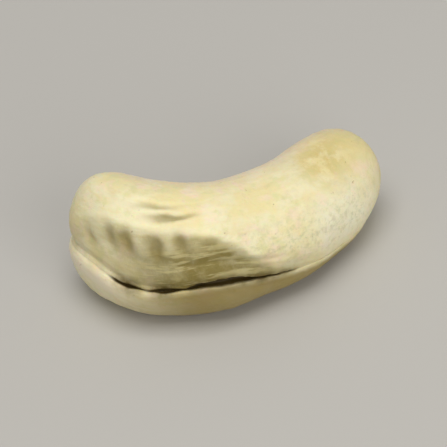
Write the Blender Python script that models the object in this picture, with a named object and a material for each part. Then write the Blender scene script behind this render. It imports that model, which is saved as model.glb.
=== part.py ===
"""A shelled cashew kernel lying on its side: one solid, in metres, +Z up.

The body is a sphere drawn out along a bent centre line. Its two seed halves grew together, so they are
one object, and the sphere's equator is the seam between them. The lips, the parted crack, the ledge, the
shoulder, the dimples and the germ are relief on the surface. Everything is worked out in millimetres.
"""

import bmesh
import bpy
import numpy as np

MM = 0.001

# The mesh. The equator takes the seam, and the rings crowd towards it.
MERIDIANS = 124
RINGS = 44
RING_CROWDING = 0.30
SIDE_STRETCH = 1.8  # draws the meridians away from the tips, to the long back

# The centre line. It bends in the XY plane, with the hollow side towards +Y and the blunt end at -X.
SPINE_HALF = 15.2
SPINE_STEPS = 801
BEND = 1.08
SKEW = -0.39

# Half sizes of the section. A taper is the share lost by the slim end and gained by the blunt end, and a
# waist is the share lost by the middle and gained by both ends.
INNER_HALF = 5.0
OUTER_HALF = 4.9
UPPER_HALF = 6.85
LOWER_HALF = 5.5
INNER_TAPER = 0.05
OUTER_TAPER = -0.12
UPPER_TAPER = 0.21
LOWER_TAPER = 0.25
INNER_WAIST = 0.06
UPPER_WAIST = 0.13
LOWER_WAIST = 0.13
OUTER_BULGE = 0.03
CHEEK_SLANT = 0.03  # how much deeper the lower half is towards the hollow side
UPPER_POWER = 2.1  # 2 is an ellipse, more is boxier
LOWER_POWER = 2.5
BLUNT_END_POWER = 3.3
SLIM_END_POWER = 3.4

# How the body lies.
TWIST_DEG = 3.6  # the section's turn about the centre line
LEAN_DEG = 0.7  # the lean towards the hollow side
PITCH_DEG = 4.8  # the pitch towards the slim end, whose belly is the shallower
FLAT_DEPTH = 0.15  # how much the ground takes off the belly

# The seam. Run is the distance along the centre line from the middle, and the blunt end is negative.
SEAM_DROP = -0.04  # how far the seam on the back lies below the middle of the section
SEAM_WAVER = 0.45
WAVER_LENGTH = 8.8
WAVER_TOP = -7.3
WAVER_END = (1.0, 5.0)
SEAM_FALL = 2.0  # how much further it drops at the slim end
FALL_RUN = (0.0, 8.0)
TIP_BLEND = 2.5  # how far past the centre line what is on the back fades out round the tips
LIP_DEPTH = 0.20
HOLLOW_LIP_DEPTH = 0.12
LIP_REACH = 0.65
CRACK_DEPTH = 0.55
CRACK_HALF = 0.20
CRACK_RUN = (-9.0, 5.5)
CRACK_FADE = 2.0
LEDGE_SINK = 0.38  # the step at the seam: how far it is sunk above and raised below
LEDGE_RISE = 0.60
LEDGE_RUN = (-14.5, -5.5)
LEDGE_FADE = 5.0
UPPER_ROUNDING = 0.20
UPPER_REACH = 1.4  # how far from the seam the step dies away
LOWER_ROUNDING = 0.70
LOWER_REACH = 2.0

# The flank, between the upper half's shoulder and the seam. Angles go round the section: 180 is the back.
# A dimple is its run, its angle and its depth, and so is a groove.
FLANK_RUN = (-12.0, 5.5)
FLANK_FADE = 5.0
SEAM_DEG = 180.0
SHOULDER_DEG = 129.5
SHOULDER_TURN = 33.0  # how far the shoulder turns down towards the seam
TURN_RUN = (-6.0, 2.0)
BLUNT_TURN = 18.0  # how far it turns down round the blunt end
BLUNT_TURN_RUN = (-13.5, -10.0)
SHOULDER_SPREAD = 8.0
SHOULDER_HEIGHT = 0.20
SHOULDER_SINK = 0.75
VALLEY_SHARE = 0.57  # the valley's place and spread, as shares of the room from the shoulder to the seam
VALLEY_SPREAD_SHARE = 0.24
VALLEY_DEPTH = 0.30
DIMPLES = (
    (-11.4, 158.0, 0.20),
    (-9.85, 146.0, 0.36),
    (-8.7, 145.0, 0.44),
    (-7.0, 145.0, 0.52),
    (-5.3, 139.0, 0.40),
)
DIMPLE_HALF = 0.42
DIMPLE_SPREAD = 10.0
DIMPLE_SLANT = -0.012  # how far a dimple leans along the run, for each degree round
GROOVES = ((-7.0, 107.0, 0.16), (-5.75, 116.0, 0.26))
GROOVE_HALF = 1.4
GROOVE_SPREAD = 3.5
GROOVE_SLANT = -2.0  # degrees round, for each millimetre along the run
CREASE_RUN = (-5.5, 1.5)
CREASE_FADE = 2.0
CREASE_DEG = 160.0
CREASE_SPREAD = 3.0
CREASE_DEPTH = 0.12

# The germ: the small beak between the halves on the hollow side, near the blunt end.
GERM_RUN = -11.6
GERM_HALF_LENGTH = 1.5
GERM_HALF_WIDTH = 0.8
GERM_STEEPNESS = 0.6  # the length of its steep end, as a share of the other
GERM_HEIGHT = 0.8
GERM_ROOM = (0.5, 3.0)
MOAT_AT = 1.6
MOAT_SPREAD = 0.5
MOAT_DEPTH = 0.2

# Soft lumps all over: waves whose directions turn by the golden angle from one to the next.
LUMP_HEIGHT = 0.035
LUMP_WAVES = 9
LUMP_TURN = 2.39996
LUMP_PACE = 0.5
LUMP_QUICKENING = 0.09
LUMP_PHASE = 1.7

COLOUR = (0.83, 0.72, 0.46, 1.0)
ROUGHNESS = 0.5


def smooth_step(x, low, high):
    """0 below low, 1 above high, and a smooth rise between them."""
    t = np.clip((x - low) / (high - low), 0.0, 1.0)
    return t * t * (3.0 - 2.0 * t)


def stretch_of(run, ends, fade):
    """1 between the two ends and 0 past them, with a smooth change of length fade centred on each."""
    start, end = ends
    rise = smooth_step(run, start - fade / 2.0, start + fade / 2.0)
    return rise * (1.0 - smooth_step(run, end - fade / 2.0, end + fade / 2.0))


def bump(x, centre, half):
    """A bell of height 1 round centre."""
    return np.exp(-(((x - centre) / half) ** 2))


def superellipse(a, b, power):
    """How far the direction (a, b) goes before it meets the unit superellipse."""
    return (np.abs(a) ** power + np.abs(b) ** power) ** (-1.0 / power)


def centre_line(along):
    """X, Y and heading of the centre line. The heading is a parabola of along, and the tips share one Y."""
    fine = np.linspace(-1.0, 1.0, SPINE_STEPS)
    heading = BEND * fine + SKEW * (1.5 * fine**2 - 0.5)
    step = SPINE_HALF * (fine[1] - fine[0])
    x = np.concatenate([[0.0], np.cumsum(np.cos(heading[1:]) + np.cos(heading[:-1])) / 2.0]) * step
    y = np.concatenate([[0.0], np.cumsum(np.sin(heading[1:]) + np.sin(heading[:-1])) / 2.0]) * step
    tilt = np.arctan2(y[-1], x[-1])
    level_x = x * np.cos(tilt) + y * np.sin(tilt)
    level_y = y * np.cos(tilt) - x * np.sin(tilt)
    return [np.interp(along, fine, values) for values in (level_x, level_y, heading - tilt)]


def unroll(unit):
    """Along, cap and around of points on the unit sphere.

    Along runs from -1 at the blunt tip to 1 at the slim tip. Cap is the share of the full section there,
    and the two lie on a superellipse. Around is the angle in the section, 0 on the hollow side.
    """
    side = SIDE_STRETCH * np.hypot(unit[:, 1], unit[:, 2])
    power = np.where(unit[:, 0] < 0.0, BLUNT_END_POWER, SLIM_END_POWER)
    reach = superellipse(unit[:, 0], side, power)
    return unit[:, 0] * reach, side * reach, np.arctan2(unit[:, 2], unit[:, 1])


def section(along, cap, around):
    """Place in the section, u towards the hollow side and w up: four quarters of superellipses."""
    cos, sin = np.cos(around), np.sin(around)
    middle = 1.0 - 2.0 * along**2
    inner = INNER_HALF * (1.0 - INNER_TAPER * along - INNER_WAIST * middle)
    outer = OUTER_HALF * (1.0 - OUTER_TAPER * along + OUTER_BULGE * middle)
    upper = UPPER_HALF * (1.0 - UPPER_TAPER * along - UPPER_WAIST * middle)
    lower = LOWER_HALF * (1.0 - LOWER_TAPER * along - LOWER_WAIST * middle) * (1.0 + CHEEK_SLANT * cos)
    reach = cap * superellipse(cos, sin, np.where(sin > 0.0, UPPER_POWER, LOWER_POWER))
    return np.where(cos > 0.0, inner, outer) * reach * cos, np.where(sin > 0.0, upper, lower) * reach * sin


def lay_seam(along, around):
    """Around, moved so that the seam on the back wavers, then falls. The move fades away from the seam."""
    run = along * SPINE_HALF
    waver = SEAM_WAVER * np.cos(2.0 * np.pi * (run - WAVER_TOP) / WAVER_LENGTH)
    waver = waver * (1.0 - smooth_step(run, *WAVER_END))
    course = SEAM_DROP + waver + SEAM_FALL * smooth_step(run, *FALL_RUN)
    drop = np.where(np.cos(around) < 0.0, course, 0.0)
    return around + drop / LOWER_HALF * np.cos(around) ** 4


def place(along, u, w):
    """The point at (u, w) in the section, once the section is twisted and set on the centre line."""
    twist = np.radians(TWIST_DEG)
    across = u * np.cos(twist) - w * np.sin(twist)
    rise = u * np.sin(twist) + w * np.cos(twist)
    x, y, heading = centre_line(along)
    return np.stack([x - across * np.sin(heading), y + across * np.cos(heading), rise], axis=-1)


def seam_relief(run, u, off):
    """The lips, the crack parted along the back, and the ledge where the lower half stands proud."""
    back = smooth_step(-u, -TIP_BLEND, TIP_BLEND)
    lip = HOLLOW_LIP_DEPTH + (LIP_DEPTH - HOLLOW_LIP_DEPTH) * back
    height = -lip * np.exp(-np.abs(off) / LIP_REACH)
    height -= CRACK_DEPTH * back * stretch_of(run, CRACK_RUN, CRACK_FADE) * bump(off, 0.0, CRACK_HALF)
    upper = LEDGE_SINK * np.tanh(off / UPPER_ROUNDING) * np.exp(-np.abs(off) / UPPER_REACH)
    lower = LEDGE_RISE * np.tanh(off / LOWER_ROUNDING) * np.exp(-np.abs(off) / LOWER_REACH)
    return height - back * stretch_of(run, LEDGE_RUN, LEDGE_FADE) * np.where(off > 0.0, upper, lower)


def flank_relief(run, angle):
    """The shoulder, the valley under it with its dimples and its crease, and two grooves on the top face."""
    turned = smooth_step(run, *TURN_RUN)
    top = SHOULDER_DEG + SHOULDER_TURN * turned + BLUNT_TURN * (1.0 - smooth_step(run, *BLUNT_TURN_RUN))
    room = SEAM_DEG - top
    shoulder = SHOULDER_HEIGHT * bump(angle, top, SHOULDER_SPREAD)
    valley = VALLEY_DEPTH * bump(angle, top + VALLEY_SHARE * room, VALLEY_SPREAD_SHARE * room)
    height = stretch_of(run, FLANK_RUN, FLANK_FADE) * (1.0 - SHOULDER_SINK * turned) * (shoulder - valley)
    for at, degrees, depth in DIMPLES:
        slanted = run + DIMPLE_SLANT * (angle - degrees)
        height -= depth * bump(slanted, at, DIMPLE_HALF) * bump(angle, degrees, DIMPLE_SPREAD)
    for at, degrees, depth in GROOVES:
        course = degrees + GROOVE_SLANT * (run - at)
        height -= depth * bump(run, at, GROOVE_HALF) * bump(angle, course, GROOVE_SPREAD)
    crease = stretch_of(run, CREASE_RUN, CREASE_FADE) * bump(angle, CREASE_DEG, CREASE_SPREAD)
    return height - CREASE_DEPTH * crease


def germ_relief(points, u, off):
    """The germ stands up as a short beak, steeper towards the bend, with a shallow moat round it."""
    along = GERM_RUN / SPINE_HALF
    cap = (1.0 - np.abs(along) ** BLUNT_END_POWER) ** (1.0 / BLUNT_END_POWER)
    root = place(along, *section(along, cap, 0.0))
    heading = centre_line(along)[2]
    ahead = (points[:, 0] - root[0]) * np.cos(heading) + (points[:, 1] - root[1]) * np.sin(heading)
    ahead = ahead / (GERM_HALF_LENGTH * np.where(ahead > 0.0, GERM_STEEPNESS, 1.0))
    far = np.hypot(ahead, off / GERM_HALF_WIDTH)
    beak = GERM_HEIGHT * np.exp(-(far**3)) - MOAT_DEPTH * bump(far, MOAT_AT, MOAT_SPREAD)
    return beak * smooth_step(u, *GERM_ROOM)


def lumps(points):
    """Slow waves in all directions, which keep the body from looking turned."""
    height = np.zeros(len(points))
    for number in range(1, LUMP_WAVES + 1):
        turn = LUMP_TURN * number
        rise = 1.0 - 2.0 * number / (LUMP_WAVES + 1.0)
        flat = np.sqrt(1.0 - rise**2)
        way = np.array([np.cos(turn) * flat, np.sin(turn) * flat, rise])
        pace = LUMP_PACE + LUMP_QUICKENING * number
        height += LUMP_HEIGHT * np.sin(pace * (points @ way) + LUMP_PHASE * number)
    return height


def lay_down(points):
    """The points leant and pitched as the weight lies, cut flat at the ground and set over the origin."""
    lean, pitch = np.radians(LEAN_DEG), np.radians(PITCH_DEG)
    y = points[:, 1] * np.cos(lean) + points[:, 2] * np.sin(lean)
    rise = points[:, 2] * np.cos(lean) - points[:, 1] * np.sin(lean)
    x = points[:, 0] * np.cos(pitch) + rise * np.sin(pitch)
    z = rise * np.cos(pitch) - points[:, 0] * np.sin(pitch)
    z = np.maximum(z - z.min() - FLAT_DEPTH, 0.0)
    return np.stack([x - (x.max() + x.min()) / 2.0, y - (y.max() + y.min()) / 2.0, z], axis=-1)


def crowd(unit):
    """The sphere's points with their rings moved towards the equator."""
    turn = np.arctan2(unit[:, 1], unit[:, 0])
    rise = np.arcsin(np.clip(unit[:, 2], -1.0, 1.0))
    rise = rise - RING_CROWDING * np.sin(2.0 * rise)
    return np.stack([np.cos(rise) * np.cos(turn), np.cos(rise) * np.sin(turn), np.sin(rise)], axis=-1)


def kernel():
    """A sphere drawn out over the bent body, pushed in and out by the relief, and laid on its flat spots."""
    sphere = bmesh.new()
    bmesh.ops.create_uvsphere(sphere, u_segments=MERIDIANS, v_segments=RINGS, radius=1.0)
    along, cap, around = unroll(crowd(np.array([vert.co for vert in sphere.verts])))
    run = along * SPINE_HALF
    u, off = section(along, cap, around)
    points = place(along, *section(along, cap, lay_seam(along, around)))
    for vert, point in zip(sphere.verts, points):
        vert.co = point
    bmesh.ops.recalc_face_normals(sphere, faces=sphere.faces)
    sphere.normal_update()
    normals = np.array([vert.normal for vert in sphere.verts])
    height = seam_relief(run, u, off) + flank_relief(run, np.degrees(around) % 360.0)
    height += germ_relief(points, u, off) + lumps(points)
    points = lay_down(points + normals * height[:, None])
    for vert, point in zip(sphere.verts, points):
        vert.co = point * MM
    mesh = bpy.data.meshes.new("cashew_kernel")
    sphere.to_mesh(mesh)
    sphere.free()
    mesh.shade_smooth()
    return bpy.data.objects.new("cashew_kernel", mesh)


def ivory():
    """The blanched kernel's pale, dull ivory."""
    material = bpy.data.materials.new("kernel_ivory")
    material.use_nodes = True
    shader = material.node_tree.nodes["Principled BSDF"]
    shader.inputs["Base Color"].default_value = COLOUR
    shader.inputs["Roughness"].default_value = ROUGHNESS
    shader.inputs["Metallic"].default_value = 0.0
    return material


def main():
    for old in list(bpy.data.objects):
        bpy.data.objects.remove(old)
    nut = bpy.data.collections.new("cashew_nut")
    bpy.context.scene.collection.children.link(nut)
    body = kernel()
    body.data.materials.append(ivory())
    nut.objects.link(body)


main()
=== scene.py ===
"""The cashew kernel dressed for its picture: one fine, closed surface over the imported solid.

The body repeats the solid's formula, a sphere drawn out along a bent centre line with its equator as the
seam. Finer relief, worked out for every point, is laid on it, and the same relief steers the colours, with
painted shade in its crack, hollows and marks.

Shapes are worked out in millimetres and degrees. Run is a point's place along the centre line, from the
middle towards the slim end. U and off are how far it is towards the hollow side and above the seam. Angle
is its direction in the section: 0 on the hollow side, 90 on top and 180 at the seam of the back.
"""

import itertools

import bpy
import numpy as np
from mathutils import Matrix, Vector


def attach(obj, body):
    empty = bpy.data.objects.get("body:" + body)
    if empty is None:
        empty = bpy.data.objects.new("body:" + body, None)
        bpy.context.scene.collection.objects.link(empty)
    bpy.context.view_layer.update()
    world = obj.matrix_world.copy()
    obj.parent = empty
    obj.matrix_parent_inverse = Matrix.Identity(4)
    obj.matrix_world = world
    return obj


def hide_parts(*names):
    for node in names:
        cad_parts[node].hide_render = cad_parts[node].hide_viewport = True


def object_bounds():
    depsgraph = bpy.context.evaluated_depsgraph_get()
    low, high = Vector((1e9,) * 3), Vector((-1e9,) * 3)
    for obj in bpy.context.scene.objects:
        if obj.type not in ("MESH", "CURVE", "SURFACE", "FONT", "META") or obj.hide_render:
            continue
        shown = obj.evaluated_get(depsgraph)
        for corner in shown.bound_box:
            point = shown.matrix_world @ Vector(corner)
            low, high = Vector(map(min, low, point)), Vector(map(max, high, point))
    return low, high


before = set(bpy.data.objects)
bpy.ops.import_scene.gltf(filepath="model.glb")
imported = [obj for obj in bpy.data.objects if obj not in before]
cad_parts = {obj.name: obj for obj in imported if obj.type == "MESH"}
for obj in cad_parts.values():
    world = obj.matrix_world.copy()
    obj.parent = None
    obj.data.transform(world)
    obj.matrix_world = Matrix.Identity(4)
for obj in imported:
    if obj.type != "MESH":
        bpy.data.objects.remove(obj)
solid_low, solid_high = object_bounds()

MM = 0.001
NODE = "cashew_kernel"
SEAM_DEG = 180.0

# The grid: the points of a ring, the steps from the pole underneath to the pole on top, how much the rings
# crowd round the seam, and how much the points are kept from crowding at the tips.
TURNS = 560
RINGS = 176
RING_CROWDING = 0.30
SIDE_STRETCH = 1.8

# The centre line.
SPINE_HALF = 15.2
SPINE_STEPS = 801
BEND = 1.08
SKEW = -0.39

# Half sizes of the section, and how they change towards the slim end.
INNER_HALF = 5.0
OUTER_HALF = 4.9
UPPER_HALF = 6.85
LOWER_HALF = 5.5
INNER_TAPER = 0.05
OUTER_TAPER = -0.12
UPPER_TAPER = 0.21
LOWER_TAPER = 0.25
INNER_WAIST = 0.06
UPPER_WAIST = 0.13
LOWER_WAIST = 0.13
OUTER_BULGE = 0.03
CHEEK_SLANT = 0.03
UPPER_POWER = 2.1
LOWER_POWER = 2.5
BLUNT_END_POWER = 3.3
SLIM_END_POWER = 3.4

# How the section is twisted about the centre line, how the body leans and pitches as it lies, and how deep
# its flat spots are cut.
TWIST_DEG = 3.6
LEAN_DEG = 0.7
PITCH_DEG = 4.8
FLAT_DEPTH = 0.15

# The seam's course on the back.
SEAM_DROP = -0.04
SEAM_WAVER = 0.45
WAVER_LENGTH = 8.8
WAVER_TOP = -7.3
WAVER_END = (1.0, 5.0)
SEAM_FALL = 2.0
FALL_RUN = (0.0, 8.0)
TIP_BLEND = 2.5

# The seam's lips, and the ledge at the blunt end.
LIP_DEPTH = 0.20
HOLLOW_LIP_DEPTH = 0.12
LIP_REACH = 0.65
LEDGE_SINK = 0.38
LEDGE_RISE = 0.60
LEDGE_RUN = (-14.5, -5.5)
LEDGE_FADE = 5.0
UPPER_ROUNDING = 0.20
UPPER_REACH = 1.4
LOWER_ROUNDING = 0.70
LOWER_REACH = 2.0

# The crack along the seam: where it gapes, as (run, half length, half width), and where it closes, as
# (run, half length, share closed). A noise of one layer is written as (size, seed).
CRACK_DEPTH = 0.65
CRACK_RUN = (-9.4, 1.9)
CRACK_FADE = 1.6
CRACK_HALF = 0.08
CRACK_UNEVEN = 0.5
CRACK_UNEVEN_NOISE = (0.7, 11)
CRACK_OFF = -0.10
CRACK_WANDER = 0.08
CRACK_WANDER_NOISE = (0.8, 13)
CRACK_GAPES = ((-8.6, 0.5, 0.05), (-6.4, 0.5, 0.12), (-2.6, 1.9, 0.22))
CRACK_CLOSINGS = ((-7.5, 0.55, 0.75), (-5.3, 0.55, 0.6))
GAPE_UNEVEN = 0.25
GAPE_UNEVEN_NOISE = (0.5, 12)
WALL_POWER = 4
HAIRLINE_DEPTH = 0.10
HAIRLINE_HALF = 0.06

# The shoulder, a blunt edge along the body, and the valley between it and the seam.
FLANK_RUN = (-12.0, 5.5)
FLANK_FADE = 5.0
SHOULDER_DEG = 129.5
SHOULDER_TURN = 31.0
TURN_RUN = (-4.6, 1.4)
BLUNT_TURN = 18.0
BLUNT_TURN_RUN = (-13.5, -10.0)
SHOULDER_SPREAD = 8.0
SHOULDER_HEIGHT = 0.20
SHOULDER_SINK = 0.75
VALLEY_SHARE = 0.57
VALLEY_SPREAD_SHARE = 0.24
VALLEY_DEPTH = 0.30

# Marks: the dimples of the flank and the grooves of the top face, as (run, degrees, depth), and the crease.
DIMPLES = (
    (-11.4, 158.0, 0.20),
    (-9.85, 145.0, 0.34),
    (-8.7, 144.0, 0.40),
    (-7.0, 145.0, 0.50),
    (-5.3, 139.0, 0.36),
)
DIMPLE_HALF = 0.52
DIMPLE_SPREAD = 11.0
DIMPLE_SLANT = -0.012
GROOVES = ((-7.1, 107.0, 0.24), (-5.9, 117.0, 0.36))
GROOVE_HALF = 1.8
GROOVE_SPREAD = 3.8
GROOVE_SLANT = -2.0
DIMPLE_WANDER = 0.28
GROOVE_WANDER = 14.0
MARK_WANDER_NOISE = (1.3, 15)
CREASE_RUN = (-5.5, 1.5)
CREASE_FADE = 2.0
CREASE_DEG = 160.0
CREASE_SPREAD = 3.0
CREASE_DEPTH = 0.12

# The germ, the small beak on the hollow side.
GERM_RUN = -11.6
GERM_HALF_LENGTH = 1.5
GERM_HALF_WIDTH = 0.8
GERM_STEEPNESS = 0.6
GERM_HEIGHT = 0.8
GERM_POWER = 3
GERM_ROOM = (0.5, 3.0)
MOAT_AT = 1.6
MOAT_SPREAD = 0.5
MOAT_DEPTH = 0.2

# Soft lumps all over, as on the solid.
LUMP_HEIGHT = 0.035
LUMP_WAVES = 9
LUMP_TURN = 2.39996
LUMP_PACE = 0.5
LUMP_QUICKENING = 0.09
LUMP_PHASE = 1.7

# Fine relief. A noise of several layers is written as (size, layers, seed).
DENTS = (2.6, 3, 21)
DENT_HEIGHT = 0.060
GRAIN = (0.55, 2, 31)
GRAIN_STRETCH = 5.0
GRAIN_HEIGHT = 0.018
WRINKLE_PITCH = 1.25
WRINKLE_HEIGHT = 0.018
WRINKLE_BEND = 2.2
WRINKLE_BEND_NOISE = (3.5, 41)
WRINKLE_PATCH_NOISE = (3.5, 42)
WRINKLE_PATCH_RISE = (-0.1, 0.5)
WRINKLE_ROOM = (0.5, 3.0)
SKIN = (0.42, 2, 51)
SKIN_HEIGHT = 0.030
CHIPS = (0.5, 2, 61)
CHIP_HEIGHT = 0.080
CHIP_REACH = 0.6
PIT_SPACING = 1.5
PIT_RADIUS = 0.20
PIT_LEAST = 0.4
PIT_SEED = 71
PIT_DEPTH = 0.045

# The hash behind every noise: a factor for each axis of a cell and one for the seed, then rounds of mixing,
# as (shift, factor), a last shift, and the largest value. RISE_SEED keeps a corner's rise apart from its
# turn, and NOISE_GAIN brings the noise to about -1 to 1.
CELL_FACTORS = (73856093, 19349663, 83492791)
SEED_FACTOR = 49979687
HASH_ROUNDS = ((13, 1274126177), (11, 668265263))
LAST_SHIFT = 15
HASH_TOP = 0x7FFFFFFF
RISE_SEED = 101
NOISE_GAIN = 1.6

# The depths that count as full for the paint, which darkens the crack, the hollows and the marks as painted
# shade.
CREVICE_FULL = 0.45
HOLLOW_FULL = 0.10
MARK_FULL = 0.40

# The olive of the flank, partly its own colour and partly painted shade, from a frayed line along the
# shoulder down to the seam, and lighter past SHADE_RUN.
FLANK_PAINT = (-17.0, 5.5)
SHADE_RUN = (-8.0, 1.5)
SHADE_FADE = 6.0
LIGHT_SHADE = 0.18
SHADE_FROM_DEG = -4.0
SHADE_RISE_DEG = 23.0
SHADE_FALL_DEG = 4.0
SHADE_FRAY = (1.6, 3, 81)
SHADE_FRAY_DEG = 14.0

# Painted shade on the back under the seam, a darker khaki band over the lower half of the back.
UNDER_START = (-11.5, -4.0)
UNDER_END = (7.0, 13.0)
UNDER_OFF = (0.0, 0.9)
UNDER_BACK = (-4.0, 2.0)

# A painted highlight on the rim of the ledge, and painted shade along the lips of the crack.
RIM_RUN = (-15.0, -9.0)
RIM_FADE = 2.5
RIM_OFF = -1.2
RIM_REACH = 1.1
LIP_SHADE_OFF = -0.05
LIP_SHADE_REACH = 0.62

# The slim end's warm top, and the blush on it.
SLIM_RUN = (3.0, 12.0)
SLIM_DEG = 88.0
SLIM_SPREAD = 40.0
BLUSH_RUN = 8.5
BLUSH_HALF = 2.6
BLUSH_DEG = 98.0
BLUSH_SPREAD = 26.0

# A painted highlight along the crest of the shoulder, and a weaker one on the ridges between the dimples,
# which a mark soon ends.
CREST_RUN = (-13.0, -2.5)
CREST_FADE = 2.5
CREST_OFF_DEG = -2.0
CREST_SPREAD = 3.5
RIDGE_RUN = (-10.5, -4.6)
RIDGE_DEG = 141.0
RIDGE_SPREAD = 9.0
RIDGE_BREAK = 3.0
RIDGE_SHARE = 0.6

# The speckled stretch above the seam, and its part towards the slim end, made lighter as painted light.
SPECK_RUN = (-1.5, 10.5)
SPECK_DEG = 152.0
SPECK_SPREAD = 20.0
SPECK_STOP_DEG = 4.0
PALE_RUN = (1.0, 6.0)

# A rosy painted rim light along the upper edge of the hollow side, less towards the tips.
EDGE_DEG = 48.0
EDGE_SPREAD = 22.0
EDGE_CAP = (0.2, 0.8)

# Colours, written as a paint shop would read them off a screen, from 0 to 255.
CREAM = (244, 236, 198)
BUTTER = (240, 227, 174)
PALE_GREEN = (228, 224, 170)
# The olive is partly the flank's own colour and partly painted shade. In the hollows it is painted shade.
OLIVE_AND_PAINTED_SHADE = (136, 122, 62)
# Painted shade for the back under the seam.
BEIGE_PAINTED_SHADE = (144, 124, 62)
BLUSH = (210, 190, 118)
# A painted highlight for the ledge's rim.
RIM_PAINTED_HIGHLIGHT = (255, 240, 212)
# Painted shade for the inside of the crack.
CRACK_PAINTED_SHADE = (72, 57, 20)
SPECK = (150, 124, 74)
# Painted shade for the dimples, grooves and crease.
MARK_PAINTED_SHADE = (146, 130, 72)
STREAK = (208, 197, 146)
LIP_SHADE = (96, 80, 30)
SLIM_TINT = (222, 205, 140)
# A painted highlight for the crest and the ridges.
CREST_PAINTED_HIGHLIGHT = (250, 243, 206)
# Painted light for the speckled stretch towards the slim end.
PALE_PAINTED_LIGHT = (255, 250, 224)
GREY_GREEN = (196, 194, 150)
# The pink is the kernel's own rosy tone in patches, and painted rim light along the upper edge of the hollow
# side.
PINK_AND_RIM_LIGHT = (250, 226, 204)
FLOOR = (194, 192, 188)
SURROUND = (250, 248, 244)

# Noises of the finish, as (size, detail, roughness).
BROAD = (3.2, 3.0, 0.5)
SMALL = (1.3, 4.0, 0.6)
FINE = (0.35, 3.0, 0.6)
STREAKS = (0.5, 3.0, 0.6)
ROSY = (2.1, 3.0, 0.6)
GRAINY = (0.5, 5.0, 0.75)
SPECKS = (0.55, 2.0, 0.7)
PORES = (0.14, 2.0, 0.5)

# How strongly each coat of tint covers, as a plain share or as (low, high, least, most): while a noise or a
# mask goes from low to high, the cover goes from least to most.
BUTTER_COVER = (0.42, 0.62, 0.0, 1.0)
GREEN_COVER = (0.50, 0.66, 0.0, 0.7)
STREAK_COVER = (0.48, 0.66, 0.0, 0.5)
ROSY_COVER = (0.52, 0.70, 0.0, 0.6)
SLIM_COVER = 0.6
BLUSH_COVER = 0.7
BLUSH_PATCHES = (0.36, 0.56, 0.0, 1.0)
FLANK_COVER = (0.25, 0.60, 0.72, 0.97)
COMBED_COVER = (0.48, 0.60, 0.0, 0.65)
HOLLOW_COVER = (0.0, 1.0, 0.0, 0.32)
MARK_COVER = (0.05, 0.9, 0.0, 0.7)
UNDER_COVER = 0.85
RIM_COVER = 0.9
CREST_COVER = 0.5
EDGE_COVER = 0.6
PALE_COVER = 0.7
GRAINY_COVER = (0.44, 0.66, 0.0, 0.5)
SPECK_COVER = (0.70, 0.78, 0.0, 0.5)
LIP_SHADE_COVER = (0.3, 0.7, 0.5, 1.0)
CREVICE_COVER = (0.05, 0.75, 0.0, 1.0)

# The kernel's roughness as a cover is written, the plain values of its shader, which lets light a little
# way in, the heights of its finest relief, and the floor's roughness.
ROUGHNESS = (0.3, 0.7, 0.44, 0.60)
FLESH = {
    "Metallic": 0.0,
    "IOR": 1.46,
    "Specular IOR Level": 0.3,
    "Subsurface Weight": 0.4,
    "Subsurface Radius": (1.0, 0.62, 0.32),
    "Subsurface Scale": 0.6 * MM,
}
FINE_HEIGHT = 0.045
STREAK_HEIGHT = 0.045
PORE_HEIGHT = 0.016
FLOOR_ROUGHNESS = 0.9

# The picture: the viewing angle of the photograph, and a long lens, which sees from CLIP_START to CLIP_END
# in metres.
AZIMUTH_DEG = -13.0
ELEVATION_DEG = 41.4
ROLL_DEG = -7.7
LENS = 300.0
SENSOR = 36.0
FIELD_MM = 39.0
AIM_MM = (-0.82, -0.84)

CLIP_START = 0.01
CLIP_END = 10.0

# The studio, in metres and watts. A lamp is (name, azimuth, elevation, distance, side, power, colour).
FLOOR_HALF = 1.5
SURROUND_STRENGTH = 0.36
LAMPS = (
    ("soft_box_above", -20.0, 80.0, 0.45, 0.30, 1.08, (1.0, 0.985, 0.95)),
    ("soft_box_front", 12.0, 28.0, 0.50, 0.30, 0.76, (1.0, 0.98, 0.94)),
)


def smooth_step(x, low, high):
    """0 below low, 1 above high, and between them three times the square less twice the cube."""
    t = np.clip((x - low) / (high - low), 0.0, 1.0)
    return t * t * (3.0 - 2.0 * t)


def stretch_of(run, ends, fade):
    """1 between the two ends and 0 past them, with a smooth change of length fade centred on each."""
    start, end = ends
    rise = smooth_step(run, start - fade / 2.0, start + fade / 2.0)
    return rise * (1.0 - smooth_step(run, end - fade / 2.0, end + fade / 2.0))


def bump(x, centre, half):
    """A bell of height 1 round centre: the exponential of minus the squared distance in halves."""
    return np.exp(-(((x - centre) / half) ** 2))


def superellipse(a, b, power):
    """How far the direction (a, b) goes before it meets the unit superellipse."""
    return (np.abs(a) ** power + np.abs(b) ** power) ** (-1.0 / power)


def hashed(cell, seed):
    """A repeatable number from 0 to 1 for each lattice cell. Its whole numbers and the seed are multiplied
    by their factors, joined bit by bit, and mixed by shifts and products."""
    whole = cell.astype(np.int64) * np.array(CELL_FACTORS)
    mixed = whole[:, 0] ^ whole[:, 1] ^ whole[:, 2] ^ (seed + 1) * SEED_FACTOR
    for shift, factor in HASH_ROUNDS:
        mixed = (mixed ^ (mixed >> shift)) * factor & HASH_TOP
    return (mixed ^ (mixed >> LAST_SHIFT)) / float(HASH_TOP)


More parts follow.
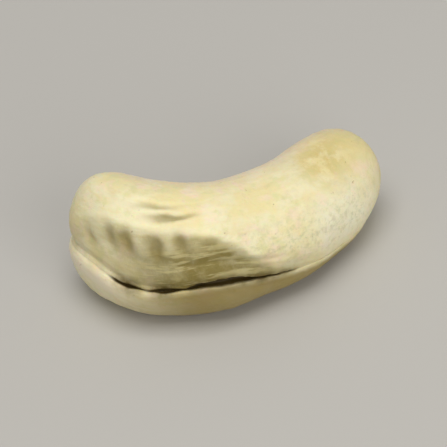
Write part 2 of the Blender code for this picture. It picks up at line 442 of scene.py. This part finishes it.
def noise(points, size, seed):
    """Smooth noise from about -1 to 1. Each corner of a lattice has a hashed direction, and the value is
    the place of the point along the eight directions round it, eased from one corner to the next by a
    polynomial of the fifth power."""
    scaled = points / size
    cell = np.floor(scaled)
    part = scaled - cell
    ease = part**3 * (part * (part * 6.0 - 15.0) + 10.0)
    total = np.zeros(len(points))
    for corner in itertools.product((0.0, 1.0), repeat=3):
        corner = np.array(corner)
        turn = 2.0 * np.pi * hashed(cell + corner, seed)
        rise = 2.0 * hashed(cell + corner, seed + RISE_SEED) - 1.0
        flat = np.sqrt(1.0 - rise**2)
        offset = part - corner
        slope = offset[:, 0] * np.cos(turn) * flat + offset[:, 1] * np.sin(turn) * flat + offset[:, 2] * rise
        total += slope * np.prod(np.where(corner > 0.0, ease, 1.0 - ease), axis=1)
    return NOISE_GAIN * total


def layered(points, size, layers, seed):
    """Noise over noise, each layer half the size and half the height of the one before."""
    total = sum(noise(points, size / 2.0**layer, seed + layer) / 2.0**layer for layer in range(layers))
    return total / (2.0 - 0.5 ** (layers - 1))


def pits(points):
    """Round hollows of depth 1: a bell at a hashed place in each lattice cell, with a hashed radius."""
    scaled = points / PIT_SPACING
    cell = np.floor(scaled)
    depth = np.zeros(len(points))
    for step in itertools.product((-1.0, 0.0, 1.0), repeat=3):
        near = cell + np.array(step)
        place_in = np.stack([hashed(near, PIT_SEED + axis) for axis in range(3)], axis=-1)
        radius = PIT_RADIUS * (PIT_LEAST + (1.0 - PIT_LEAST) * hashed(near, PIT_SEED + 3))
        away = np.linalg.norm(scaled - near - place_in, axis=1) * PIT_SPACING
        depth = np.maximum(depth, bump(away, 0.0, radius))
    return depth


def centre_line(along):
    """X, Y and heading of the centre line. The heading is a parabola of along, and the tips share one Y."""
    fine = np.linspace(-1.0, 1.0, SPINE_STEPS)
    heading = BEND * fine + SKEW * (1.5 * fine**2 - 0.5)
    step = SPINE_HALF * (fine[1] - fine[0])
    x = np.concatenate([[0.0], np.cumsum(np.cos(heading[1:]) + np.cos(heading[:-1])) / 2.0]) * step
    y = np.concatenate([[0.0], np.cumsum(np.sin(heading[1:]) + np.sin(heading[:-1])) / 2.0]) * step
    tilt = np.arctan2(y[-1], x[-1])
    level_x = x * np.cos(tilt) + y * np.sin(tilt)
    level_y = y * np.cos(tilt) - x * np.sin(tilt)
    return [np.interp(along, fine, values) for values in (level_x, level_y, heading - tilt)]


def unroll(unit):
    """Along, cap and around of points on the unit sphere: the place between the tips from -1 to 1, the
    share of the full section there, and the angle in the section, 0 on the hollow side."""
    side = SIDE_STRETCH * np.hypot(unit[:, 1], unit[:, 2])
    power = np.where(unit[:, 0] < 0.0, BLUNT_END_POWER, SLIM_END_POWER)
    reach = superellipse(unit[:, 0], side, power)
    return unit[:, 0] * reach, side * reach, np.arctan2(unit[:, 2], unit[:, 1])


def section(along, cap, around):
    """Place in the section, u towards the hollow side and w up: four quarters of superellipses."""
    cos, sin = np.cos(around), np.sin(around)
    middle = 1.0 - 2.0 * along**2
    inner = INNER_HALF * (1.0 - INNER_TAPER * along - INNER_WAIST * middle)
    outer = OUTER_HALF * (1.0 - OUTER_TAPER * along + OUTER_BULGE * middle)
    upper = UPPER_HALF * (1.0 - UPPER_TAPER * along - UPPER_WAIST * middle)
    lower = LOWER_HALF * (1.0 - LOWER_TAPER * along - LOWER_WAIST * middle) * (1.0 + CHEEK_SLANT * cos)
    reach = cap * superellipse(cos, sin, np.where(sin > 0.0, UPPER_POWER, LOWER_POWER))
    return np.where(cos > 0.0, inner, outer) * reach * cos, np.where(sin > 0.0, upper, lower) * reach * sin


def lay_seam(along, around):
    """Around, moved so that the seam on the back drops and wavers. The waver is a cosine of run, and the
    move fades away from the seam as the fourth power of the cosine of around."""
    run = along * SPINE_HALF
    waver = SEAM_WAVER * np.cos(2.0 * np.pi * (run - WAVER_TOP) / WAVER_LENGTH)
    waver = waver * (1.0 - smooth_step(run, *WAVER_END))
    course = SEAM_DROP + waver + SEAM_FALL * smooth_step(run, *FALL_RUN)
    drop = np.where(np.cos(around) < 0.0, course, 0.0)
    return around + drop / LOWER_HALF * np.cos(around) ** 4


def place(along, u, w):
    """The point at (u, w) in the section, once the section is twisted and set on the centre line."""
    twist = np.radians(TWIST_DEG)
    across = u * np.cos(twist) - w * np.sin(twist)
    rise = u * np.sin(twist) + w * np.cos(twist)
    x, y, heading = centre_line(along)
    return np.stack([x - across * np.sin(heading), y + across * np.cos(heading), rise], axis=-1)


def back_share(u):
    """1 on the back, 0 on the hollow side, and a smooth change round the tips."""
    return smooth_step(-u, -TIP_BLEND, TIP_BLEND)


def shoulder_angle(run):
    """The shoulder's place round the section. It turns down towards the seam past the middle and round
    the blunt end."""
    top = SHOULDER_DEG + SHOULDER_TURN * smooth_step(run, *TURN_RUN)
    return top + BLUNT_TURN * (1.0 - smooth_step(run, *BLUNT_TURN_RUN))


class Spots:
    """Where each point of the unit sphere comes to lie. Along, cap and around are as unroll gives them,
    straight joins run, u and off into one place on the straightened kernel, back is the share of the back,
    and top is the shoulder's angle at that run."""

    def __init__(self, unit):
        self.along, self.cap, self.around = unroll(unit)
        self.run = self.along * SPINE_HALF
        self.u, self.off = section(self.along, self.cap, self.around)
        self.angle = np.degrees(self.around) % 360.0
        self.straight = np.stack([self.run, self.u, self.off], axis=-1)
        self.back = back_share(self.u)
        self.top = shoulder_angle(self.run)


def seam_relief(spots):
    """The lips and the ledge where the lower half stands proud. The lips sink and the ledge dies away as
    exponentials of the distance off the seam, and the ledge turns from one side to the other as a tanh."""
    lip = HOLLOW_LIP_DEPTH + (LIP_DEPTH - HOLLOW_LIP_DEPTH) * spots.back
    far = np.abs(spots.off)
    upper = LEDGE_SINK * np.tanh(spots.off / UPPER_ROUNDING) * np.exp(-far / UPPER_REACH)
    lower = LEDGE_RISE * np.tanh(spots.off / LOWER_ROUNDING) * np.exp(-far / LOWER_REACH)
    step = spots.back * stretch_of(spots.run, LEDGE_RUN, LEDGE_FADE)
    return -lip * np.exp(-far / LIP_REACH) - step * np.where(spots.off > 0.0, upper, lower)


def flank_relief(spots):
    """The shoulder, and the valley at a fixed share of the way from it to the seam, each a bell."""
    shoulder = SHOULDER_HEIGHT * bump(spots.angle, spots.top, SHOULDER_SPREAD)
    room = SEAM_DEG - spots.top
    valley = VALLEY_DEPTH * bump(spots.angle, spots.top + VALLEY_SHARE * room, VALLEY_SPREAD_SHARE * room)
    sunk = 1.0 - SHOULDER_SINK * smooth_step(spots.run, *TURN_RUN)
    return stretch_of(spots.run, FLANK_RUN, FLANK_FADE) * sunk * (shoulder - valley)


def marks(spots):
    """How deep the dimples, the crease and the grooves go. Each is a bell round the section, times a bell
    along the body or, for the crease, a stretch of it. One noise moves the dimples along the body and bends
    the slanted course of the grooves."""
    run, angle = spots.run, spots.angle
    uneven = DIMPLE_WANDER * noise(spots.straight, *MARK_WANDER_NOISE)
    depth = CREASE_DEPTH * stretch_of(run, CREASE_RUN, CREASE_FADE) * bump(angle, CREASE_DEG, CREASE_SPREAD)
    for at, degrees, deep in DIMPLES:
        slanted = run + DIMPLE_SLANT * (angle - degrees) + uneven
        depth = depth + deep * bump(slanted, at, DIMPLE_HALF) * bump(angle, degrees, DIMPLE_SPREAD)
    for at, degrees, deep in GROOVES:
        course = degrees + GROOVE_SLANT * (run - at) + GROOVE_WANDER * uneven
        depth = depth + deep * bump(run, at, GROOVE_HALF) * bump(angle, course, GROOVE_SPREAD)
    return depth


def germ_relief(points, spots):
    """The germ stands up as a short beak, a bell steeper towards the bend, with a shallow moat round it."""
    along = GERM_RUN / SPINE_HALF
    cap = (1.0 - np.abs(along) ** BLUNT_END_POWER) ** (1.0 / BLUNT_END_POWER)
    root = place(along, *section(along, cap, 0.0))
    heading = centre_line(along)[2]
    ahead = (points[:, 0] - root[0]) * np.cos(heading) + (points[:, 1] - root[1]) * np.sin(heading)
    ahead = ahead / (GERM_HALF_LENGTH * np.where(ahead > 0.0, GERM_STEEPNESS, 1.0))
    far = np.hypot(ahead, spots.off / GERM_HALF_WIDTH)
    beak = GERM_HEIGHT * np.exp(-(far**GERM_POWER)) - MOAT_DEPTH * bump(far, MOAT_AT, MOAT_SPREAD)
    return beak * smooth_step(spots.u, *GERM_ROOM)


def lumps(points):
    """Slow sine waves whose directions turn by the golden angle from one to the next."""
    height = np.zeros(len(points))
    for number in range(1, LUMP_WAVES + 1):
        turn = LUMP_TURN * number
        rise = 1.0 - 2.0 * number / (LUMP_WAVES + 1.0)
        flat = np.sqrt(1.0 - rise**2)
        way = np.array([np.cos(turn) * flat, np.sin(turn) * flat, rise])
        pace = LUMP_PACE + LUMP_QUICKENING * number
        height += LUMP_HEIGHT * np.sin(pace * (points @ way) + LUMP_PHASE * number)
    return height


def settle(points):
    """The points leant towards the hollow side, then pitched towards the slim end, as the weight lies."""
    lean, pitch = np.radians(LEAN_DEG), np.radians(PITCH_DEG)
    y = points[:, 1] * np.cos(lean) + points[:, 2] * np.sin(lean)
    rise = points[:, 2] * np.cos(lean) - points[:, 1] * np.sin(lean)
    x = points[:, 0] * np.cos(pitch) + rise * np.sin(pitch)
    z = rise * np.cos(pitch) - points[:, 0] * np.sin(pitch)
    return np.stack([x, y, z], axis=-1)


def lay_down(points, ground):
    """The points settled and cut flat at the ground, a little above the lowest point of ground."""
    laid = settle(points)
    laid[:, 2] = np.maximum(laid[:, 2] - settle(ground)[:, 2].min() - FLAT_DEPTH, 0.0)
    return laid


def sphere():
    """Points and faces of a unit sphere: a pole, the rings in order, and the other pole. A ring's height
    angle is moved towards the equator by a share of the sine of its double."""
    turn = 2.0 * np.pi * np.arange(TURNS) / TURNS
    rise = np.pi * (np.arange(1, RINGS) / RINGS - 0.5)
    rise = rise - RING_CROWDING * np.sin(2.0 * rise)
    rise, turn = np.meshgrid(rise, turn, indexing="ij")
    rings = np.stack([np.cos(rise) * np.cos(turn), np.cos(rise) * np.sin(turn), np.sin(rise)], axis=-1)
    points = np.concatenate([[[0.0, 0.0, -1.0]], rings.reshape(-1, 3), [[0.0, 0.0, 1.0]]])
    first = 1 + TURNS * np.arange(RINGS - 1)[:, None] + np.arange(TURNS)[None, :]
    after = np.roll(first, -1, axis=1)
    quads = np.stack([first[:-1], after[:-1], after[1:], first[1:]], axis=-1).reshape(-1, 4)
    top = len(points) - 1
    foot = np.stack([np.zeros(TURNS, int), after[0], first[0]], axis=-1)
    crown = np.stack([np.full(TURNS, top), first[-1], after[-1]], axis=-1)
    return points, quads, np.concatenate([foot, crown])


def normals_of(points, *sheets):
    """Unit normals. A face's normal, the cross of its diagonals, goes to its corners, and they are summed."""
    total = np.zeros_like(points)
    for faces in sheets:
        one, other = points[faces[:, 2]] - points[faces[:, 0]], points[faces[:, -1]] - points[faces[:, 1]]
        across = np.cross(one, other)
        for corner in range(faces.shape[1]):
            for axis in range(3):
                total[:, axis] += np.bincount(faces[:, corner], across[:, axis], len(points))
    return total / np.linalg.norm(total, axis=1)[:, None]


def crack_share(run):
    """How open the seam on the back is, from 0 to 1: less at the closings, and shut past the two ends."""
    share = stretch_of(run, CRACK_RUN, CRACK_FADE)
    for at, length, shut in CRACK_CLOSINGS:
        share = share * (1.0 - shut * bump(run, at, length))
    return share


def crack_depth(spots):
    """The parted seam: a slot with steep walls, whose half width is a thin line's plus a bell at each gape,
    both uneven, and whose middle wanders. On the hollow side and past its ends it is a hairline."""
    half = CRACK_HALF * (1.0 + CRACK_UNEVEN * noise(spots.straight, *CRACK_UNEVEN_NOISE))
    edge = 1.0 + GAPE_UNEVEN * noise(spots.straight, *GAPE_UNEVEN_NOISE)
    for at, length, gape in CRACK_GAPES:
        half = half + gape * bump(spots.run, at, length) * edge
    middle = spots.off - CRACK_OFF + CRACK_WANDER * noise(spots.straight, *CRACK_WANDER_NOISE)
    wall = np.exp(-((middle / half) ** WALL_POWER))
    slot = CRACK_DEPTH * spots.back * crack_share(spots.run) * wall
    return slot + HAIRLINE_DEPTH * (1.0 - slot / CRACK_DEPTH) * bump(middle, 0.0, HAIRLINE_HALF)


def skin_relief(points, spots):
    """What a peeled skin leaves: soft dents, fibres along the body, crosswise wrinkles on the underside and
    the hollow side, chipped lips, a finely uneven face, and a few small pits. The wrinkles are a sine along
    the body, bent by a noise and kept to the patches of another."""
    height = DENT_HEIGHT * layered(points, *DENTS)
    height += GRAIN_HEIGHT * layered(spots.straight / np.array([GRAIN_STRETCH, 1.0, 1.0]), *GRAIN)
    bend = WRINKLE_BEND * noise(points, *WRINKLE_BEND_NOISE)
    folds = np.sin(2.0 * np.pi * spots.run / WRINKLE_PITCH + bend)
    hidden = np.maximum(smooth_step(-spots.off, *WRINKLE_ROOM), smooth_step(spots.u, *WRINKLE_ROOM))
    patches = smooth_step(noise(points, *WRINKLE_PATCH_NOISE), *WRINKLE_PATCH_RISE)
    height += WRINKLE_HEIGHT * folds * patches * hidden
    height += SKIN_HEIGHT * layered(points, *SKIN)
    height += CHIP_HEIGHT * layered(spots.straight, *CHIPS) * bump(spots.off, 0.0, CHIP_REACH)
    return height - PIT_DEPTH * pits(points)


def flank_olive_and_shade_mask(spots):
    """Where the flank is olive, partly its own colour and partly painted shade: a smooth step down from the
    frayed line, times the stretches along it.
    """
    frayed = spots.angle + SHADE_FRAY_DEG * layered(spots.straight, *SHADE_FRAY)
    shaded = smooth_step(frayed, spots.top + SHADE_FROM_DEG, spots.top + SHADE_RISE_DEG)
    shaded = shaded * (1.0 - smooth_step(spots.angle, SEAM_DEG, SEAM_DEG + SHADE_FALL_DEG))
    shaded = shaded * (LIGHT_SHADE + (1.0 - LIGHT_SHADE) * stretch_of(spots.run, SHADE_RUN, SHADE_FADE))
    return shaded * stretch_of(spots.run, FLANK_PAINT, FLANK_FADE)


def under_painted_shade_mask(spots):
    """Where the back takes painted shade in khaki: smooth steps down from the seam, round to the back and at
    each end.
    """
    under = smooth_step(-spots.off, *UNDER_OFF) * smooth_step(-spots.u, *UNDER_BACK)
    return under * smooth_step(spots.run, *UNDER_START) * (1.0 - smooth_step(spots.run, *UNDER_END))


def crest_highlight_mask(spots, mark):
    """Where the crest takes a painted highlight: a bell round the shoulder's line, or where they are more,
    the ridges between the dimples, a wider and weaker bell less the marks."""
    crest = bump(spots.angle, spots.top + CREST_OFF_DEG, CREST_SPREAD)
    crest = crest * stretch_of(spots.run, CREST_RUN, CREST_FADE)
    ridge = bump(spots.angle, RIDGE_DEG, RIDGE_SPREAD) * stretch_of(spots.run, RIDGE_RUN, CREST_FADE)
    ridge = ridge * (1.0 - np.clip(RIDGE_BREAK * mark / MARK_FULL, 0.0, 1.0))
    return np.maximum(crest, RIDGE_SHARE * ridge)


def paint_masks(spots, crack, mark, skin):
    """How much of each tint a point takes, by name: depths as shares of the full ones, and bands that are
    the product of bells or smooth steps across the body and along it."""
    run, off, angle = spots.run, spots.off, spots.angle
    speckled = bump(angle, SPECK_DEG, SPECK_SPREAD) * stretch_of(run, SPECK_RUN, SHADE_FADE)
    return {
        # Painted shade: the crack, its lips, the hollows, the marks and the band under the seam, and in part
        # the flank. Painted light: the rim, the crest, the upper edge of the hollow side and the lighter
        # stretch towards the slim end.
        "crevice": np.clip(crack / CREVICE_FULL, 0.0, 1.0),
        "mark": np.clip(mark / MARK_FULL, 0.0, 1.0),
        "hollow": np.clip(-skin / HOLLOW_FULL, -1.0, 1.0),
        "lip_shade": spots.back * crack_share(run) * bump(off, LIP_SHADE_OFF, LIP_SHADE_REACH),
        "slim": smooth_step(run, *SLIM_RUN) * bump(angle, SLIM_DEG, SLIM_SPREAD),
        "crest": crest_highlight_mask(spots, mark),
        "speckled": speckled * (1.0 - smooth_step(angle, SEAM_DEG - SPECK_STOP_DEG, SEAM_DEG)),
        "pale": speckled * smooth_step(run, *PALE_RUN),
        "edge": bump(angle, EDGE_DEG, EDGE_SPREAD) * smooth_step(spots.cap, *EDGE_CAP),
        "flank": flank_olive_and_shade_mask(spots),
        "under": under_painted_shade_mask(spots),
        "rim": spots.back * stretch_of(run, RIM_RUN, RIM_FADE) * bump(off, RIM_OFF, RIM_REACH),
        "blush": bump(run, BLUSH_RUN, BLUSH_HALF) * bump(angle, BLUSH_DEG, BLUSH_SPREAD),
    }


def add_values(mesh, name, kind, field, values):
    """One value a point, for the material to read."""
    flat = np.ascontiguousarray(values, dtype=np.float32).ravel()
    mesh.attributes.new(name, kind, "POINT").data.foreach_set(field, flat)


def kernel_surface():
    """The solid's body and forms at a fine pitch, then the crack and the skin along the new normals. It is
    laid down as the solid is, and shifted so that the two have one centre and one ground."""
    unit, quads, fans = sphere()
    spots = Spots(unit)
    points = place(spots.along, *section(spots.along, spots.cap, lay_seam(spots.along, spots.around)))
    mark = marks(spots)
    form = seam_relief(spots) + flank_relief(spots) - mark + germ_relief(points, spots) + lumps(points)
    body = points + normals_of(points, quads, fans) * form[:, None]
    crack = crack_depth(spots)
    skin = skin_relief(body, spots)
    fine = body + normals_of(body, quads, fans) * (skin - crack)[:, None]
    plain = lay_down(body, body)
    shift = (solid_low + solid_high) / 2.0 / MM
    laid = lay_down(fine, body)
    laid[:, 0] += shift.x - (plain[:, 0].max() + plain[:, 0].min()) / 2.0
    laid[:, 1] += shift.y - (plain[:, 1].max() + plain[:, 1].min()) / 2.0
    laid[:, 2] += solid_low.z / MM
    mesh = bpy.data.meshes.new("kernel_surface")
    mesh.from_pydata(laid * MM, [], quads.tolist() + fans.tolist())
    mesh.shade_smooth()
    add_values(mesh, "straight", "FLOAT_VECTOR", "vector", spots.straight)
    for name, values in paint_masks(spots, crack, mark, skin).items():
        add_values(mesh, name, "FLOAT", "value", values)
    piece = bpy.data.objects.new("kernel_surface", mesh)
    bpy.context.scene.collection.objects.link(piece)
    return piece


def linear(colour):
    """A screen colour from 0 to 255 as the light it stands for, by the screen's own curve."""
    share = np.array(colour) / 255.0
    light = np.where(share <= 0.04045, share / 12.92, ((share + 0.055) / 1.055) ** 2.4)
    return (*light.tolist(), 1.0)


class Looks:
    """One material's nodes, with a short call for each kind that the finishes use."""

    def __init__(self, name):
        self.material = bpy.data.materials.new(name)
        self.material.use_nodes = True
        self.nodes = self.material.node_tree.nodes
        self.links = self.material.node_tree.links
        self.shader = self.nodes["Principled BSDF"]

    def node(self, kind, settings=(), **inputs):
        """A node of that kind. An input's name has _ for each space."""
        made = self.nodes.new(kind)
        for name, value in dict(settings).items():
            setattr(made, name, value)
        for name, value in inputs.items():
            self.feed(made.inputs[name.replace("_", " ")], value)
        return made

    def feed(self, socket, value):
        """The socket linked to another one, or set to a plain value."""
        if isinstance(value, bpy.types.NodeSocket):
            self.links.new(value, socket)
        else:
            socket.default_value = value

    def math(self, operation, first, second):
        """Two numbers joined by one operation of arithmetic."""
        made = self.node("ShaderNodeMath", {"operation": operation})
        self.feed(made.inputs[0], first)
        self.feed(made.inputs[1], second)
        return made.outputs[0]

    def times(self, first, second):
        """The product of two numbers."""
        return self.math("MULTIPLY", first, second)

    def mask(self, name):
        """One of the surface's own masks."""
        return self.node("ShaderNodeAttribute", {"attribute_name": name}).outputs["Fac"]

    def mix(self, share, first, second):
        """The first colour with a share of it replaced by the second."""
        made = self.node("ShaderNodeMix", {"data_type": "RGBA"})
        self.feed(made.inputs["Factor"], share)
        self.feed(made.inputs["A"], first)
        self.feed(made.inputs["B"], second)
        return made.outputs["Result"]

    def ramp(self, value, low, high, least, most):
        """Least up to low, most from high on, and a smooth step between them."""
        made = self.node("ShaderNodeMapRange", {"interpolation_type": "SMOOTHSTEP"}, Value=value)
        for name, limit in (("From Min", low), ("From Max", high), ("To Min", least), ("To Max", most)):
            self.feed(made.inputs[name], limit)
        return made.outputs["Result"]

    def noise(self, vector, size, detail, rough):
        """A noise from 0 to 1 with spots of about that size."""
        kind = "ShaderNodeTexNoise"
        made = self.node(kind, Vector=vector, Scale=1.0 / size, Detail=detail, Roughness=rough)
        return made.outputs["Fac"]


def kernel_finish():
    """Dull waxy ivory. Each coat of tint covers the ones before it as far as a noise or a mask says: first
    the mottled cream and the slim end, then the olive flank, partly painted shade, with its streaks, then
    painted shade in the hollows, the marks and the khaki band under the seam, then painted highlights on the
    rim and the crest, painted rim light on the edges and painted light on the lighter stretch, and last the
    speckles and painted shade along the crack and in it."""
    looks = Looks("kernel_skin")
    place_mm = looks.node("ShaderNodeVectorMath", {"operation": "SCALE"}, Scale=1.0 / MM)
    looks.feed(place_mm.inputs[0], looks.node("ShaderNodeTexCoord").outputs["Object"])
    place_mm = place_mm.outputs["Vector"]
    straight = looks.node("ShaderNodeAttribute", {"attribute_name": "straight"}).outputs["Vector"]
    drawn_out = (1.0 / GRAIN_STRETCH, 1.0, 1.0)
    fibres = looks.node("ShaderNodeMapping", Vector=straight, Scale=drawn_out).outputs["Vector"]

    small = looks.noise(place_mm, *SMALL)
    fine = looks.noise(place_mm, *FINE)
    streak = looks.noise(fibres, *STREAKS)
    flank = looks.mask("flank")
    blush = looks.times(looks.mask("blush"), looks.ramp(small, *BLUSH_PATCHES))
    grainy = looks.ramp(looks.noise(place_mm, *GRAINY), *GRAINY_COVER)
    coats = (
        (BUTTER, looks.ramp(looks.noise(place_mm, *BROAD), *BUTTER_COVER)),
        (PALE_GREEN, looks.ramp(small, *GREEN_COVER)),
        (BUTTER, looks.ramp(streak, *STREAK_COVER)),
        (PINK_AND_RIM_LIGHT, looks.ramp(looks.noise(place_mm, *ROSY), *ROSY_COVER)),
        (SLIM_TINT, looks.times(looks.mask("slim"), SLIM_COVER)),
        (BLUSH, looks.times(blush, BLUSH_COVER)),
        # The flank's olive is partly its own colour and partly painted shade.
        (OLIVE_AND_PAINTED_SHADE, looks.times(flank, looks.ramp(small, *FLANK_COVER))),
        (STREAK, looks.times(flank, looks.ramp(streak, *COMBED_COVER))),
        # Painted shade in the hollows of the skin and in the dimples, grooves and crease.
        (OLIVE_AND_PAINTED_SHADE, looks.ramp(looks.mask("hollow"), *HOLLOW_COVER)),
        (MARK_PAINTED_SHADE, looks.ramp(looks.mask("mark"), *MARK_COVER)),
        # Painted shade on the back under the seam.
        (BEIGE_PAINTED_SHADE, looks.times(looks.mask("under"), UNDER_COVER)),
        # A painted highlight on the ledge's rim.
        (RIM_PAINTED_HIGHLIGHT, looks.times(looks.mask("rim"), RIM_COVER)),
        # A painted highlight on the crest and the ridges.
        (CREST_PAINTED_HIGHLIGHT, looks.times(looks.mask("crest"), CREST_COVER)),
        # Painted rim light on the upper edge of the hollow side.
        (PINK_AND_RIM_LIGHT, looks.times(looks.mask("edge"), EDGE_COVER)),
        # Painted light on the speckled stretch towards the slim end.
        (PALE_PAINTED_LIGHT, looks.times(looks.mask("pale"), PALE_COVER)),
        (GREY_GREEN, looks.times(looks.mask("speckled"), grainy)),
        (SPECK, looks.ramp(looks.noise(place_mm, *SPECKS), *SPECK_COVER)),
        # Painted shade along the lips of the crack and inside it.
        (LIP_SHADE, looks.times(looks.mask("lip_shade"), looks.ramp(small, *LIP_SHADE_COVER))),
        (CRACK_PAINTED_SHADE, looks.ramp(looks.mask("crevice"), *CREVICE_COVER)),
    )
    colour = linear(CREAM)
    for tint, cover in coats:
        colour = looks.mix(cover, colour, linear(tint))
    looks.feed(looks.shader.inputs["Base Color"], colour)
    looks.feed(looks.shader.inputs["Roughness"], looks.ramp(fine, *ROUGHNESS))
    for name, value in FLESH.items():
        looks.shader.inputs[name].default_value = value

    height = looks.times(fine, FINE_HEIGHT)
    height = looks.math("ADD", height, looks.times(streak, STREAK_HEIGHT))
    height = looks.math("ADD", height, looks.times(looks.noise(place_mm, *PORES), PORE_HEIGHT))
    raised = looks.node("ShaderNodeBump", Height=height, Distance=MM, Strength=1.0)
    looks.feed(looks.shader.inputs["Normal"], raised.outputs["Normal"])
    return looks.material


def floor():
    """A wide plain ground at the height that the kernel lies on."""
    half = FLOOR_HALF
    mesh = bpy.data.meshes.new("floor")
    corners = [(-half, -half, 0.0), (half, -half, 0.0), (half, half, 0.0), (-half, half, 0.0)]
    mesh.from_pydata(corners, [], [(0, 1, 2, 3)])
    looks = Looks("floor_paper")
    looks.shader.inputs["Base Color"].default_value = linear(FLOOR)
    looks.shader.inputs["Roughness"].default_value = FLOOR_ROUGHNESS
    mesh.materials.append(looks.material)
    ground = bpy.data.objects.new("floor", mesh)
    bpy.context.scene.collection.objects.link(ground)
    return ground


def direction(azimuth, elevation):
    """The unit vector from the kernel towards a viewer there. Azimuth 0 stands at -Y and 90 at +X."""
    turn, rise = np.radians(azimuth), np.radians(elevation)
    return Vector((np.sin(turn) * np.cos(rise), -np.cos(turn) * np.cos(rise), np.sin(rise)))


def soft_box(name, azimuth, elevation, distance, side, power, colour):
    """A square lamp aimed at the kernel."""
    lamp = bpy.data.lights.new(name, "AREA")
    lamp.size = side
    lamp.energy = power
    lamp.color = colour
    back = direction(azimuth, elevation)
    box = bpy.data.objects.new(name, lamp)
    box.location = (solid_low + solid_high) / 2.0 + back * distance
    box.rotation_euler = back.to_track_quat("Z", "Y").to_euler()
    bpy.context.scene.collection.objects.link(box)


def camera():
    """A long lens at the photograph's angle, as far off as makes the field that wide."""
    lens = bpy.data.cameras.new("camera")
    lens.lens = LENS
    lens.sensor_width = SENSOR
    lens.clip_start = CLIP_START
    lens.clip_end = CLIP_END
    back = direction(AZIMUTH_DEG, ELEVATION_DEG)
    eye = bpy.data.objects.new("camera", lens)
    turn = back.to_track_quat("Z", "Y").to_matrix() @ Matrix.Rotation(np.radians(ROLL_DEG), 3, "Z")
    aim = (solid_low + solid_high) / 2.0 + turn @ Vector((*AIM_MM, 0.0)) * MM
    eye.location = aim + back * (FIELD_MM * MM * LENS / SENSOR)
    eye.rotation_euler = turn.to_euler()
    bpy.context.scene.collection.objects.link(eye)
    bpy.context.scene.camera = eye


def studio():
    """A pale surround, a broad soft box above, and a weaker one low in front."""
    world = bpy.data.worlds.new("surround")
    world.use_nodes = True
    surround = world.node_tree.nodes["Background"].inputs
    surround["Color"].default_value = linear(SURROUND)
    surround["Strength"].default_value = SURROUND_STRENGTH
    bpy.context.scene.world = world
    for lamp in LAMPS:
        soft_box(*lamp)
    bpy.context.scene.view_settings.view_transform = "Standard"


kernel = kernel_surface()
kernel.data.materials.append(kernel_finish())
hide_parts(NODE)
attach(kernel, "root")
floor()
studio()
camera()
